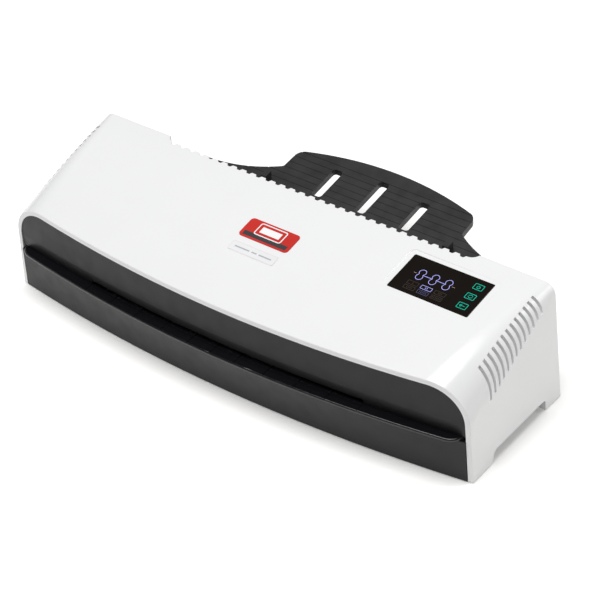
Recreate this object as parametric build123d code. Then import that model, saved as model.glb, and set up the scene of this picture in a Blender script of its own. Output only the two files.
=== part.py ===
from build123d import *
from math import acos, atan, atan2, cos, degrees, hypot, pi, radians, sin, sqrt, tan
import os

# A3 pouch laminator with three pairs of rollers. Millimetres.
# X runs along the rollers, +Y from the entry to the exit, +Z up, and the floor is at Z = 0.
# Y is measured from the bottom corners of the front panel; each part is moved as it is written,
# so that the origin lies under the middle of the whole machine.

# ---- casing ----
BODY_WIDTH = 552.5
SIDE_DRAFT = 0.038            # each side leans in by this much per unit of height
FRONT_LEAN = 0.016
REAR_LEAN = 0.024
BODY_DEPTH = 147.4
FRONT_BOW = 20.3              # the front is bowed out by this much at the middle
ROOF_STATIONS = (-40.0, 61.0, 150.0)
ROOF_HEIGHTS = (92.9, 120.3, 132.3)
CORNER_RADII = (50.0, 30.0, 10.5)
WALL = 2.5
RIM_WIDTH = 5.0               # white rim round the front panels
RIM_DEPTH = 5.0
EDGE_ROUND = 1.0
GROUND_GAP = 1.2
PANEL_GAP = 0.3

ARCH_FRONT = 31.0             # cut-out between the front and rear feet of each side wall
ARCH_REAR = 121.5
ARCH_HEIGHT = 14.0
FOOT_DEPTH = 11.0

RECESS_X = 2.5                # step in the rear wall
RECESS_HALF_WIDTH = 187.3
RECESS_DEPTH = 7.4
RECESS_CORNER = 10.0
REAR_VENTS = 30
REAR_VENT_PITCH = 12.04
REAR_VENT_FIRST_X = -173.6
REAR_VENT_MOUTH = 7.6
REAR_VENT_ROOT = 3.6
REAR_VENT_BOTTOM = 88.0

SIDE_VENTS = 13
SIDE_VENT_PITCH = 7.13
SIDE_VENT_WIDTH = 3.0
SIDE_VENT_FIRST_Y = 35.4
SIDE_VENT_INNER_X = 260.5
SIDE_VENT_LOW = 73.0          # bottom of the first vent
SIDE_VENT_RISE = 3.34         # rise of the bottom from one vent to the next
SIDE_VENT_WALL = 6.0          # thicker wall round the vents

# ---- front ----
PANEL_WALL = 2.5
PANEL_RECESS = 0.6
CURL_TOP = 64.0               # below this the upper panel curls in a little
CURL_DEPTH = 0.9
SHELF_TOP = 51.0
SHELF_THICKNESS = 3.6
LIP_ROUND = 1.6
SHELF_BACK_Y = 9.5
LIP_OVERHANG = 11.0
LIP_HALF_WIDTH = 266.0
LIP_END_Y = -8.0
LIP_CORNER = 16.0
BEAD_SIZE = (0.7, 0.45)       # bead along the joint of the shelf and the upper panel
LOWER_PANEL_FLARE = 6.5
LOWER_PANEL_TOP = 47.2
MOUTH_HALF_WIDTH = 165.0
MOUTH_TOP = 55.6
GUIDE_TICKS = (0.0, 28.05, 62.3, 96.5, 130.8, 165.0)
TICK_WIDTH = 0.9
TICK_DEPTH = 0.6

# ---- display, badge and label ----
WINDOW_SIZE = (88.7, 46.9)
WINDOW_CENTRE = (179.9, 94.0)
WINDOW_THICKNESS = 2.6
WINDOW_PROUD = 0.2
POCKET_MARGIN = (5.5, 4.8)    # round the window, to the sides and to the front and rear
POCKET_DEPTH = 0.65
POCKET_CORNER = 5.0
POCKET_SLACK = (0.64, 0.34)   # degrees by which the pocket is less steep than the roof
POCKET_TAPER = 50.0
BADGE_SIZE = (58.7, 24.4)
BADGE_CENTRE = (-2.7, 72.8)
LABEL_SIZE = (54.3, 11.8)
LABEL_CENTRE = (-3.4, 47.6)
BADGE_THICKNESS = 0.6
LABEL_THICKNESS = 0.25

# ---- rollers ----
PAIR_Y = {"entry": 40.0, "middle": 76.0, "exit": 112.0}
HEATER_Y = (PAIR_Y["entry"] + PAIR_Y["middle"]) / 2
GUIDE_Y = (PAIR_Y["middle"] + PAIR_Y["exit"]) / 2
NIP_Z = 51.5
ROLLER_CENTRES = 24.0
LOWER_Z = NIP_Z - ROLLER_CENTRES / 2
UPPER_Z = NIP_Z + ROLLER_CENTRES / 2
SLEEVE_RADIUS = 11.85
SLEEVE_HALF_LENGTH = 168.0
CORE_RADIUS = 6.0
CORE_HALF_LENGTH = 174.0
JOURNAL_RADIUS = 4.0
RUNNING_GAP = 0.05

# ---- chassis ----
PLATE_INNER_X = 181.0
PLATE_THICKNESS = 2.0
PLATE_FRONT = {"left": 10.0, "right": 22.0}
PLATE_REAR = 130.0
PLATE_TOP = 92.0
FLANGE_WIDTH = 12.0
PAN_FLOOR = 15.0
PAN_WALL = 2.5
PAN_TOP = PAN_FLOOR + PAN_WALL
PAN_HALF_WIDTH = 258.0
PAN_FRONT = 6.0
PAN_REAR = 134.0
PAN_VENTS = 19
PAN_VENT_PITCH = 18.0
PAN_VENT_WIDTH = 3.0
PAN_VENT_Y = (50.0, 66.0)
LEG_X = 247.0
LEG_Y = (16.0, 127.0)
STAYS = ((28.0, 84.0), (124.0, 84.0), (94.0, 23.8))
STAY_RADIUS = 4.0
SCREW_RADIUS = 2.0
SLOT_WIDTH = 14.4
SLOT_LOW = 55.0
SLOT_HIGH = 84.0
BLOCK_TOP = 72.0
SPRING_RADIUS = 3.4
SPRING_WIRE = 0.5
SPRING_TURNS = 5

# ---- gears ----
GEAR_MODULE = 1.0
ROLLER_TEETH = 24
IDLER_TEETH = 16
PINION_TEETH = 16
BACKLASH = 0.25
GEAR_X = (-194.0, -186.0)
PINION_CENTRE = (20.0, LOWER_Z)
IDLER_PIN_RADIUS = 3.0

# ---- motor ----
MOTOR_CENTRE = (38.0, 46.0)
MOTOR_RADIUS = 25.0
MOTOR_X = (-232.0, -197.0)
MOTOR_POSTS = ((58.0, 51.5), (20.0, 64.0), (20.0, 22.5))

# ---- exit tray ----
TRAY_PIVOT = (150.0, 41.5)
TRAY_ROOT = (150.0, 44.5)     # near edge of the tray's upper face
TRAY_BEND = (197.8, 68.3)     # where its ramp meets its flatter outer part
TRAY_BEND_RADIUS = 40.0
TRAY_SLOPE = 0.1637           # rise of the outer part per unit of its length along Y
TRAY_END_Y = 271.3
TRAY_END_BOW = 17.0           # its outer edge is bowed out by this much at the middle
TRAY_SKIN = 2.6
TRAY_RIM_DEPTH = 6.5
TRAY_RIM_WALL = 2.0
TRAY_TONGUE_HALF_WIDTH = 110.6
TRAY_NECK_Y = 228.5
TRAY_WING_HALF_WIDTH = 192.0
TRAY_WING_Y = 204.0
TRAY_SLOT_WIDTH = 12.0
TRAY_SLOT_PITCH = 54.0
TRAY_SLOT_START_Y = 207.3
TRAY_SLOT_ENDS_Y = (248.5, 254.8, 248.5)
TRAY_SLOT_CORNER = 3.2
TRAY_GROOVES_Y = (254.5, 246.0, 237.5, 229.0, 220.5, 212.0)
TRAY_GROOVE_SIZE = (0.7, 0.35)
TRAY_STOP_X = (109.0, 115.6)
TRAY_STOP_Y = (197.0, 206.3)
TRAY_STOP_HEIGHT = 10.5
HINGE_X = 150.0
HINGE_PIN_RADIUS = 2.0

# ---- rear panel ----
REAR_PANEL_TOP = 61.0
REAR_PANEL_HALF_WIDTH = 258.0
EXIT_SLOT = (168.0, 46.5, 57.0)    # half width, bottom and top
INLET_X = 226.0
SWITCH_X = 198.0
REAR_FITTING_Z = 36.0

BOW_RADIUS = ((BODY_WIDTH / 2 - RIM_WIDTH) ** 2 + FRONT_BOW**2) / (2 * FRONT_BOW)
BOW_AXIS_Y = BOW_RADIUS - FRONT_BOW
BOW_SWEEP = 12.0              # degrees each side of the middle
LIP_FRONT_Y = -FRONT_BOW - LIP_OVERHANG
CENTRE_Y = (TRAY_END_Y + LIP_FRONT_Y) / 2


# ---------------------------------------------------------------- helpers


def block(x0, x1, y0, y1, z0, z1):
    """A box given by its two extreme corners."""
    middle = Pos((x0 + x1) / 2, (y0 + y1) / 2, (z0 + z1) / 2)
    return middle * Box(x1 - x0, y1 - y0, z1 - z0)


def bar(x0, x1, y, z, radius):
    """A round bar along X."""
    return Pos((x0 + x1) / 2, y, z) * Rot(Y=90) * Cylinder(radius, x1 - x0)


def post(x, y, z0, z1, radius):
    """A round bar along Z."""
    return Pos(x, y, (z0 + z1) / 2) * Cylinder(radius, z1 - z0)


def along_x(points, x0, x1):
    """A prism along X whose section is a polygon of (y, z) points."""
    section = Plane.YZ * Polygon(*points, align=None)
    return Pos(X=x0) * extrude(section, x1 - x0, dir=(1, 0, 0))


def mirrored(part):
    """The same part on the other side of the middle plane."""
    return mirror(part, about=Plane.YZ)


def quadratic(stations, values, y):
    """Value at y of the parabola through three stations."""
    total = 0.0
    for i, (station, value) in enumerate(zip(stations, values)):
        weight = 1.0
        for j, other in enumerate(stations):
            if j != i:
                weight *= (y - other) / (station - other)
        total += weight * value
    return total


def roof_height(y):
    return quadratic(ROOF_STATIONS, ROOF_HEIGHTS, y)


def roof_slope(y):
    """Slope of the roof at y, in degrees."""
    step = 1.0
    return degrees(atan((roof_height(y + step) - roof_height(y - step)) / (2 * step)))


def sweep_bow(section):
    """A (y, z) section turned about the axis of the bowed front."""
    axis = Axis((0, BOW_AXIS_Y, 0), (0, 0, 1))
    solid = revolve(section, axis=axis, revolution_arc=2 * BOW_SWEEP)
    return solid.rotate(axis, -BOW_SWEEP)


def face_y(z, recess=0.0):
    """Y of the bowed front at the middle of the machine, at height z."""
    return -FRONT_BOW + FRONT_LEAN * z + recess


def body_loft(inset, bottom):
    """The casing's shape, made smaller by inset on its sides and roof."""
    sections = []
    for y, height, radius in zip(ROOF_STATIONS, ROOF_HEIGHTS, CORNER_RADII):
        top = height - inset
        low = BODY_WIDTH / 2 - inset - SIDE_DRAFT * bottom
        high = BODY_WIDTH / 2 - inset - SIDE_DRAFT * top
        outline = Polygon((-low, bottom), (low, bottom), (high, top), (-high, top), align=None)
        corners = outline.vertices().sort_by(Axis.Y)[-2:]
        plane = Plane(origin=(0, y, 0), x_dir=(1, 0, 0), z_dir=(0, -1, 0))
        sections.append(plane * fillet(corners, radius - inset))
    return loft(sections)


def front_waste(setback):
    """Everything in front of the bowed front, moved in by setback."""
    top = 180.0
    points = [
        (face_y(-20.0, setback), -20.0),
        (face_y(top, setback), top),
        (-90.0, top),
        (-90.0, -20.0),
    ]
    return sweep_bow(Plane.YZ * Polygon(*points, align=None))


def rear_plane(y):
    """A frame on the leaning rear wall whose foot is at y."""
    return Pos(0, y, 0) * Rot(X=degrees(atan(REAR_LEAN)))


def rear_waste(y):
    """Everything behind the leaning plane whose foot is at y."""
    return rear_plane(y) * block(-320, 320, 0, 40, -30, 180)


def recess_tool(grow):
    """The step in the rear wall, grown by grow on its sides and floor."""
    half = RECESS_HALF_WIDTH + grow
    plan = Pos(RECESS_X, 20 - RECESS_DEPTH - grow) * Rectangle(2 * half, 40)
    inner = plan.vertices().sort_by(Axis.Y)[:2]
    tool = extrude(fillet(inner, RECESS_CORNER), 220)
    return rear_plane(BODY_DEPTH) * Pos(Z=-30) * tool


# ---------------------------------------------------------------- casing


def arch_tool():
    """The gap under each side wall, between its two feet."""
    slope_foot = 37.0
    front_round = 8.0
    rear_round = 3.5
    outline = Polygon(
        (ARCH_FRONT, -10),
        (ARCH_FRONT, 0),
        (slope_foot, ARCH_HEIGHT),
        (ARCH_REAR, ARCH_HEIGHT),
        (ARCH_REAR, -10),
        align=None,
    )
    peaks = outline.vertices().sort_by(Axis.Y)[-2:].sort_by(Axis.X)
    outline = fillet(peaks[0], front_round)
    corner = outline.vertices().filter_by(lambda v: abs(v.X - ARCH_REAR) < 0.01).sort_by(Axis.Y)[-1]
    outline = fillet(corner, rear_round)
    return Pos(X=-320) * extrude(Plane.YZ * outline, 640, dir=(1, 0, 0))


def side_vents():
    """Slots that run from each side wall up over the rounded corner."""
    slots = []
    for i in range(SIDE_VENTS):
        y = SIDE_VENT_FIRST_Y + i * SIDE_VENT_PITCH
        low = SIDE_VENT_LOW + i * SIDE_VENT_RISE
        outline = Pos(y, (low + 160) / 2) * Rectangle(SIDE_VENT_WIDTH, 160 - low)
        lower = outline.vertices().sort_by(Axis.Y)[:2]
        section = fillet(lower, SIDE_VENT_WIDTH / 2 - 0.01)
        slot = Pos(X=SIDE_VENT_INNER_X) * extrude(Plane.YZ * section, 30, dir=(1, 0, 0))
        slots += [slot, mirrored(slot)]
    return slots


def vent_pads():
    """Thicker walls round the side vents, so that the slots are deep."""
    front = SIDE_VENT_FIRST_Y - 5
    rear = SIDE_VENT_FIRST_Y + (SIDE_VENTS - 1) * SIDE_VENT_PITCH + 5
    pad = body_loft(WALL / 2, 0.0) - body_loft(SIDE_VENT_WALL, -5.0)
    pad &= block(SIDE_VENT_INNER_X - 4, 290, front, rear, SIDE_VENT_LOW - 5, 140)
    return pad + mirrored(pad)


def rear_vents():
    """Upright slots whose tops cut the rear edge of the roof into teeth."""
    slots = []
    for i in range(REAR_VENTS):
        x = REAR_VENT_FIRST_X + i * REAR_VENT_PITCH
        outline = Polygon(
            (x - REAR_VENT_ROOT / 2, -WALL - 0.3),
            (x + REAR_VENT_ROOT / 2, -WALL - 0.3),
            (x + REAR_VENT_MOUTH / 2, 0.6),
            (x - REAR_VENT_MOUTH / 2, 0.6),
            align=None,
        )
        tool = extrude(outline, 60)
        slots.append(rear_plane(BODY_DEPTH - RECESS_DEPTH) * Pos(Z=REAR_VENT_BOTTOM) * tool)
    return slots


def window_frame():
    """The frame of the pocket's floor: a plane a little less steep than the roof."""
    x, y = WINDOW_CENTRE
    slack_x, slack_y = POCKET_SLACK
    origin = Pos(x, y, roof_height(y) - POCKET_DEPTH)
    return origin * Rot(X=roof_slope(y) - slack_x) * Rot(Y=-slack_y)


def pocket_tool():
    """The shallow pocket round the window, with sloping sides."""
    width = WINDOW_SIZE[0] + 2 * POCKET_MARGIN[0]
    length = WINDOW_SIZE[1] + 2 * POCKET_MARGIN[1]
    floor = RectangleRounded(width, length, POCKET_CORNER)
    return window_frame() * extrude(floor, 3, taper=-POCKET_TAPER)


def outer_body():
    """The casing as one solid block, with its outer edges rounded."""
    body = body_loft(0.0, GROUND_GAP) - front_waste(0.0) - rear_waste(BODY_DEPTH)
    rim = [e for e in body.edges() if e.center().Z > 40 or abs(e.center().X) > 274]
    front = [e for e in rim if e.bounding_box().max.Y < 12 and e.length > 20]
    rear = [e for e in rim if e.bounding_box().min.Y > 138 and e.length > 8]
    return fillet(front + rear, EDGE_ROUND)


def cavity():
    """The hollow inside the casing."""
    hollow = body_loft(WALL, -20.0) - front_waste(RIM_DEPTH) - rear_waste(BODY_DEPTH - WALL)
    feet = block(BODY_WIDTH / 2 - FOOT_DEPTH, 300, -30, ARCH_FRONT, -30, ARCH_HEIGHT)
    feet += block(BODY_WIDTH / 2 - FOOT_DEPTH, 300, ARCH_REAR, 160, -30, ARCH_HEIGHT)
    return hollow - recess_tool(WALL) - feet - mirrored(feet)


def top_cover():
    body = outer_body() - cavity()
    body -= body_loft(RIM_WIDTH, -20.0) & block(-300, 300, -40, 30, -20, 150)
    body -= recess_tool(0.0)
    body -= block(-260.5, 260.5, 130, 160, -10, REAR_PANEL_TOP + PANEL_GAP)
    body -= arch_tool()
    body += vent_pads()
    for slot in side_vents() + rear_vents():
        body -= slot
    body -= pocket_tool()
    opening = RectangleRounded(WINDOW_SIZE[0] + 0.5, WINDOW_SIZE[1] + 0.5, 1.6)
    body -= window_frame() * Pos(Z=-6) * extrude(opening, 12)
    posts = Part()
    for x in (-LEG_X, LEG_X):
        for y in LEG_Y:
            posts += post(x, y, PAN_TOP, 140, 4.5)
    posts &= body_loft(WALL / 2, 0.0)
    for x in (-LEG_X, LEG_X):
        for y in LEG_Y:
            posts -= post(x, y, PAN_TOP, PAN_TOP + 12, 1.5)
    return body + posts


def upper_front_panel():
    """Bowed panel that stands on the back of the shelf, with the entry's mouth cut in its foot."""
    top = 106.0
    sill_z = SHELF_TOP + 0.25
    sill_y = face_y(sill_z, PANEL_RECESS) + CURL_DEPTH
    knee_y = face_y(CURL_TOP, PANEL_RECESS)
    points = [
        (face_y(top, PANEL_RECESS), top),
        (knee_y, CURL_TOP),
        (sill_y, sill_z),
        (sill_y + PANEL_WALL, sill_z),
        (knee_y + PANEL_WALL, CURL_TOP),
        (face_y(top, PANEL_RECESS) + PANEL_WALL, top),
    ]
    panel = sweep_bow(Plane.YZ * Polygon(*points, align=None))
    panel &= body_loft(RIM_WIDTH + PANEL_GAP, 0.0)
    mouth = block(-MOUTH_HALF_WIDTH, MOUTH_HALF_WIDTH, -40, 20, SHELF_TOP - 1, MOUTH_TOP)
    return panel - mouth


def bow_plan(bow, setback, z):
    """A plan section of the lower panel at height z: an arc at the front, flat at the back."""
    half = BODY_WIDTH / 2
    back = 22.0
    outline = [
        ThreePointArc((-half, setback), (0, setback - bow), (half, setback)),
        Polyline((half, setback), (half, back), (-half, back), (-half, setback)),
    ]
    return Pos(Z=z) * make_face(outline)


def lower_panel_solid(setback):
    middle_z = (GROUND_GAP + LOWER_PANEL_TOP) / 2
    sections = [
        bow_plan(FRONT_BOW + 1, PANEL_RECESS + setback, GROUND_GAP),
        bow_plan(FRONT_BOW + 1 + LOWER_PANEL_FLARE * 0.3, PANEL_RECESS + setback, middle_z),
        bow_plan(FRONT_BOW + 1 + LOWER_PANEL_FLARE, PANEL_RECESS + setback, LOWER_PANEL_TOP),
    ]
    return loft(sections)


def lower_front_panel():
    """Panel under the shelf, which flares out towards the lip."""
    shell = lower_panel_solid(0.0) - lower_panel_solid(PANEL_WALL)
    shell &= block(-300, 300, -40, 12, 0, 60)
    return shell & body_loft(RIM_WIDTH + PANEL_GAP, 0.0)


def shelf_plan():
    """Plan of the shelf: a bowed lip with rounded ends, and a straight back."""
    half = LIP_HALF_WIDTH
    lip = ThreePointArc((-half, LIP_END_Y), (0, LIP_FRONT_Y), (half, LIP_END_Y))
    back = Polyline((half, LIP_END_Y), (half, SHELF_BACK_Y), (-half, SHELF_BACK_Y), (-half, LIP_END_Y))
    plan = make_face([lip, back])
    tips = plan.vertices().sort_by(Axis.Y)[:2]
    return fillet(tips, LIP_CORNER)


def shelf_bead():
    """A fine bead along the foot of the upper panel, on each side of the mouth."""
    width, height = BEAD_SIZE
    y = face_y(SHELF_TOP, PANEL_RECESS) + CURL_DEPTH - width / 2 - 0.1
    bead = sweep_bow(Plane.YZ * Pos(y, SHELF_TOP) * Rectangle(width, 2 * height))
    inner = MOUTH_HALF_WIDTH + 1
    outer = LIP_HALF_WIDTH - 8
    side = block(inner, outer, -30, 20, SHELF_TOP - 1, SHELF_TOP + 1)
    return bead & (side + mirrored(side))


def entry_shelf():
    """Shelf that guides a pouch into the mouth, with a rounded lip and fine guide ticks."""
    low = SHELF_TOP - SHELF_THICKNESS
    shelf = Pos(Z=low) * extrude(shelf_plan(), SHELF_THICKNESS)
    front_edges = [e for e in shelf.edges() if e.center().Y < 2 and e.bounding_box().size.Z < 0.1]
    shelf = fillet(front_edges, LIP_ROUND)
    inner = MOUTH_HALF_WIDTH - 0.5
    shelf += block(-inner, inner, SHELF_BACK_Y, 28, low, SHELF_TOP)
    half = TICK_WIDTH / 2
    for x in sorted({side * tick for tick in GUIDE_TICKS for side in (-1, 1)}):
        shelf -= block(x - half, x + half, -40, 20, SHELF_TOP - TICK_DEPTH, SHELF_TOP + 1)
    return shelf + shelf_bead()


def rear_panel():
    """Dark lower part of the rear wall, with the exit slot and the ears of the tray's hinge."""
    frame = rear_plane(BODY_DEPTH - RECESS_DEPTH)
    half, low, high = EXIT_SLOT
    width = REAR_PANEL_HALF_WIDTH
    panel = frame * block(-width, width, -WALL, 0, GROUND_GAP + 1, REAR_PANEL_TOP)
    panel -= block(-half, half, 120, 150, low, high)
    panel += block(-half, half, 126, 139, low - 2, low)
    panel += block(-half, half, 130, 139, high, high + 2)
    for x in (-HINGE_X, HINGE_X):
        for side in (-7.5, 7.5):
            panel += hinge_ear(x + side)
    panel -= rear_cutout(INLET_X, 27.2, 20.2)
    panel -= rear_cutout(SWITCH_X, 19.2, 13.2)
    return panel


def hinge_ear(x):
    """One ear beside a tray lug, on the rear panel, with the pin's hole."""
    y, z = TRAY_PIVOT
    ear = block(x - 1.5, x + 1.5, BODY_DEPTH - RECESS_DEPTH - 2, y, z - 4, z + 4)
    ear += bar(x - 1.5, x + 1.5, y, z, 4.0)
    return ear - bar(x - 2, x + 2, y, z, HINGE_PIN_RADIUS)


def rear_cutout(x, width, height):
    z = REAR_FITTING_Z
    return block(x - width / 2, x + width / 2, 120, 160, z - height / 2, z + height / 2)


def base_pan():
    """Floor of the machine: a shallow pan on four short legs."""
    pan = block(-PAN_HALF_WIDTH, PAN_HALF_WIDTH, PAN_FRONT, PAN_REAR, PAN_FLOOR, PAN_TOP + 6)
    inner = PAN_HALF_WIDTH - 2
    pan -= block(-inner, inner, PAN_FRONT + 2, PAN_REAR - 2, PAN_TOP, 60)
    for x in (-LEG_X, LEG_X):
        for y in LEG_Y:
            pan += block(x - 10, x + 10, y - 9, min(y + 9, PAN_REAR), GROUND_GAP, PAN_FLOOR)
            pan -= post(x, y, 0, 3.2, 6.5)
            pan -= post(x, y, 0, 8, 3.6)
            pan -= post(x, y, 0, 30, 1.8)
    for x, y in foot_screw_places():
        pan -= post(x, y, 0, 30, SCREW_RADIUS)
    half = PAN_VENT_WIDTH / 2
    for i in range(PAN_VENTS):
        x = (i - (PAN_VENTS - 1) / 2) * PAN_VENT_PITCH
        pan -= block(x - half, x + half, *PAN_VENT_Y, 0, 30)
    return pan


def foot_screw_places():
    """Where the side plates' flanges are screwed to the pan."""
    x = PLATE_INNER_X - 7
    return [(side * x, y) for side in (-1, 1) for y in (34.0, 118.0)]


def rubber_feet():
    return [post(x, y, 0, 3.2, 6.5) for x in (-LEG_X, LEG_X) for y in LEG_Y]


def case_screws():
    """Screws up through the legs into the cover's posts; the rubber feet hide their heads."""
    screws = []
    for x in (-LEG_X, LEG_X):
        for y in LEG_Y:
            screws.append(post(x, y, 8, PAN_TOP + 10, 1.5) + post(x, y, 5.6, 8, 3.2))
    return screws


# ---------------------------------------------------------------- display, badge and label


def display_window():
    outline = RectangleRounded(*WINDOW_SIZE, 1.4)
    glass = extrude(outline, WINDOW_THICKNESS)
    top_edges = glass.edges().group_by(Axis.Z)[-1]
    glass = chamfer(top_edges, 0.25)
    return window_frame() * Pos(Z=WINDOW_PROUD - WINDOW_THICKNESS) * glass


def display_board():
    """Circuit board under the window, with a light box and the driver chip."""
    board = Pos(Z=-0.8) * Box(82, 42, 1.6)
    light_box = Pos(-10, 0, 1.5) * Box(56, 36, 3)
    keys = [Pos(32, y, 1.5) * Cylinder(4, 3) for y in (-13, 0, 13)]
    chip = Pos(-12, 4, -2.6) * Box(14, 14, 2)
    socket = Pos(-30, -14, -4.6) * Box(12, 6, 6)
    stack = board + light_box + chip + socket
    for key in keys:
        stack += key
    return window_frame() * Pos(Z=WINDOW_PROUD - WINDOW_THICKNESS - 3) * stack


def roof_plate(size, centre, thickness, radius):
    """A thin plate that follows the roof."""
    column = Pos(*centre, 90) * extrude(RectangleRounded(*size, radius), 60)
    return (Pos(Z=thickness) * body_loft(0.0, 0.0) & column) - body_loft(0.0, 0.0)


# ---------------------------------------------------------------- chassis


def side_plate(side):
    """Steel plate that holds one end of every roller, with a foot flange turned inwards."""
    x = PLATE_INNER_X
    front = PLATE_FRONT[side]
    plate = block(x, x + PLATE_THICKNESS, front, PLATE_REAR, PAN_TOP, PLATE_TOP)
    plate += block(x - FLANGE_WIDTH, x, front + 14, PLATE_REAR - 2, PAN_TOP, PAN_TOP + 2)
    for y in PAIR_Y.values():
        plate -= bar(x - 1, x + 4, y, LOWER_Z, CORE_RADIUS)
        plate -= block(x - 1, x + 4, y - SLOT_WIDTH / 2, y + SLOT_WIDTH / 2, SLOT_LOW, SLOT_HIGH)
    for y, z in STAYS:
        plate -= bar(x - 1, x + 4, y, z, SCREW_RADIUS)
    for place_x, y in foot_screw_places():
        if place_x > 0:
            plate -= post(place_x, y, 0, 30, SCREW_RADIUS)
    if side == "right":
        return plate
    for y, z in MOTOR_POSTS:
        plate -= bar(x - 1, x + 4, y, z, SCREW_RADIUS)
    for y, z in idler_centres():
        plate -= bar(x - 1, x + 4, y, z, SCREW_RADIUS)
    return mirrored(plate)


def stay_rods():
    rods = []
    for y, z in STAYS:
        rod = bar(-PLATE_INNER_X, PLATE_INNER_X, y, z, STAY_RADIUS)
        hole = bar(PLATE_INNER_X - 9, PLATE_INNER_X, y, z, SCREW_RADIUS)
        rods.append(rod - hole - mirrored(hole))
    return rods


def chassis_screws():
    """Screws through the side plates into the stays, and up through the pan into the flanges."""
    screws = []
    outer = PLATE_INNER_X + PLATE_THICKNESS
    for y, z in STAYS:
        screw = bar(outer - 10, outer, y, z, SCREW_RADIUS) + bar(outer, outer + 2.2, y, z, 3.6)
        screws += [screw, mirrored(screw)]
    for x, y in foot_screw_places():
        shank = post(x, y, PAN_FLOOR, PAN_TOP + 5, SCREW_RADIUS)
        screws.append(shank + post(x, y, PAN_FLOOR - 2.2, PAN_FLOOR, 3.6))
    return screws


# ---------------------------------------------------------------- rollers


def roller_core(y, z):
    """Steel core with a journal at each end; the left one is longer and carries the gear."""
    core = bar(-CORE_HALF_LENGTH, CORE_HALF_LENGTH, y, z, CORE_RADIUS)
    return core + bar(GEAR_X[0] - 1, PLATE_INNER_X + 7, y, z, JOURNAL_RADIUS)


def roller_sleeve(y, z):
    tube = bar(-SLEEVE_HALF_LENGTH, SLEEVE_HALF_LENGTH, y, z, SLEEVE_RADIUS)
    return tube - bar(-SLEEVE_HALF_LENGTH, SLEEVE_HALF_LENGTH, y, z, CORE_RADIUS)


def lower_bushings():
    """Flanged plain bearings in the side plates."""
    bushings = []
    inner = PLATE_INNER_X
    for y in PAIR_Y.values():
        bush = bar(inner, inner + PLATE_THICKNESS, y, LOWER_Z, CORE_RADIUS)
        bush += bar(inner - 2, inner, y, LOWER_Z, CORE_RADIUS + 2)
        bush -= bar(inner - 3, inner + 4, y, LOWER_Z, JOURNAL_RADIUS + RUNNING_GAP)
        bushings += [bush, mirrored(bush)]
    return bushings


def bearing_blocks(y):
    """The pair of blocks that carry an upper roller and slide in the plates' slots."""
    inner = PLATE_INNER_X
    outer = inner + PLATE_THICKNESS
    half = SLOT_WIDTH / 2 - 0.2
    carrier = block(inner - 2.2, outer + 0.2, y - half, y + half, SLOT_LOW + 0.1, BLOCK_TOP)
    carrier += block(inner - 2.2, inner - 0.2, y - 9, y + 9, SLOT_LOW + 0.1, BLOCK_TOP)
    carrier += block(outer + 0.2, outer + 1.4, y - 9, y + 9, SLOT_LOW + 0.1, BLOCK_TOP)
    carrier -= bar(inner - 5, outer + 4, y, UPPER_Z, JOURNAL_RADIUS + RUNNING_GAP)
    return [carrier, mirrored(carrier)]


def nip_springs(y):
    """Compression springs between the blocks and the top of the slots."""
    length = SLOT_HIGH - BLOCK_TOP
    centre_x = PLATE_INNER_X + PLATE_THICKNESS / 2
    coil_length = length - 2 * SPRING_WIRE
    path = Helix(coil_length / SPRING_TURNS, coil_length, SPRING_RADIUS)
    wire = Circle(SPRING_WIRE)
    start = Plane(origin=path @ 0, z_dir=path % 0)
    coil = sweep(start * wire, path=path, is_frenet=True)
    spring = Pos(centre_x, y, BLOCK_TOP + SPRING_WIRE) * coil
    return [spring, mirrored(spring)]


# ---------------------------------------------------------------- gears


def involute(angle):
    return tan(angle) - angle


def tooth_half_angle(teeth, radius):
    """Half the angle that a tooth covers at a radius, for 20 degree involute flanks."""
    pressure = radians(20)
    pitch_radius = teeth * GEAR_MODULE / 2
    base_radius = pitch_radius * cos(pressure)
    at_pitch = pi / (2 * teeth) - BACKLASH / (2 * pitch_radius)
    here = acos(min(1.0, base_radius / radius))
    return at_pitch + involute(pressure) - involute(here)


def spur_gear(teeth, centre, phase):
    """A spur gear in the gear plane; phase is the angle of one tooth, in radians."""
    pitch_radius = teeth * GEAR_MODULE / 2
    root = pitch_radius - 1.3 * GEAR_MODULE
    tip = pitch_radius + 0.9 * GEAR_MODULE
    base = pitch_radius * cos(radians(20))
    low = max(base, root + 0.2)
    points = []
    for i in range(teeth):
        middle = phase + 2 * pi * i / teeth
        half_low = tooth_half_angle(teeth, low)
        half_pitch = tooth_half_angle(teeth, pitch_radius)
        half_tip = tooth_half_angle(teeth, tip)
        rising = [(root, -half_low), (low, -half_low), (pitch_radius, -half_pitch), (tip, -half_tip)]
        falling = [(radius, -angle) for radius, angle in reversed(rising)]
        for radius, angle in rising + falling:
            points.append((radius * cos(middle + angle), radius * sin(middle + angle)))
    y, z = centre
    width = GEAR_X[1] - GEAR_X[0]
    outline = Plane.YZ * Polygon(*points, align=None)
    return Pos(GEAR_X[0], y, z) * extrude(outline, width, dir=(1, 0, 0))


def meshed_phase(driver, driver_teeth, driver_phase, driven, driven_teeth):
    """Phase of a driven gear that puts a gap where the driver has a tooth."""
    direction = atan2(driven[1] - driver[1], driven[0] - driver[0])
    driver_step = 2 * pi / driver_teeth
    driven_step = 2 * pi / driven_teeth
    driver_share = (direction - driver_phase) / driver_step
    return direction + pi - (0.5 - driver_share) * driven_step


def idler_centres():
    """The idlers sit below and between the lower roller gears."""
    reach = (ROLLER_TEETH + IDLER_TEETH) * GEAR_MODULE / 2
    half_span = (PAIR_Y["middle"] - PAIR_Y["entry"]) / 2
    z = LOWER_Z - sqrt(reach**2 - half_span**2)
    return [(PAIR_Y["middle"] - half_span, z), (PAIR_Y["middle"] + half_span, z)]


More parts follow.
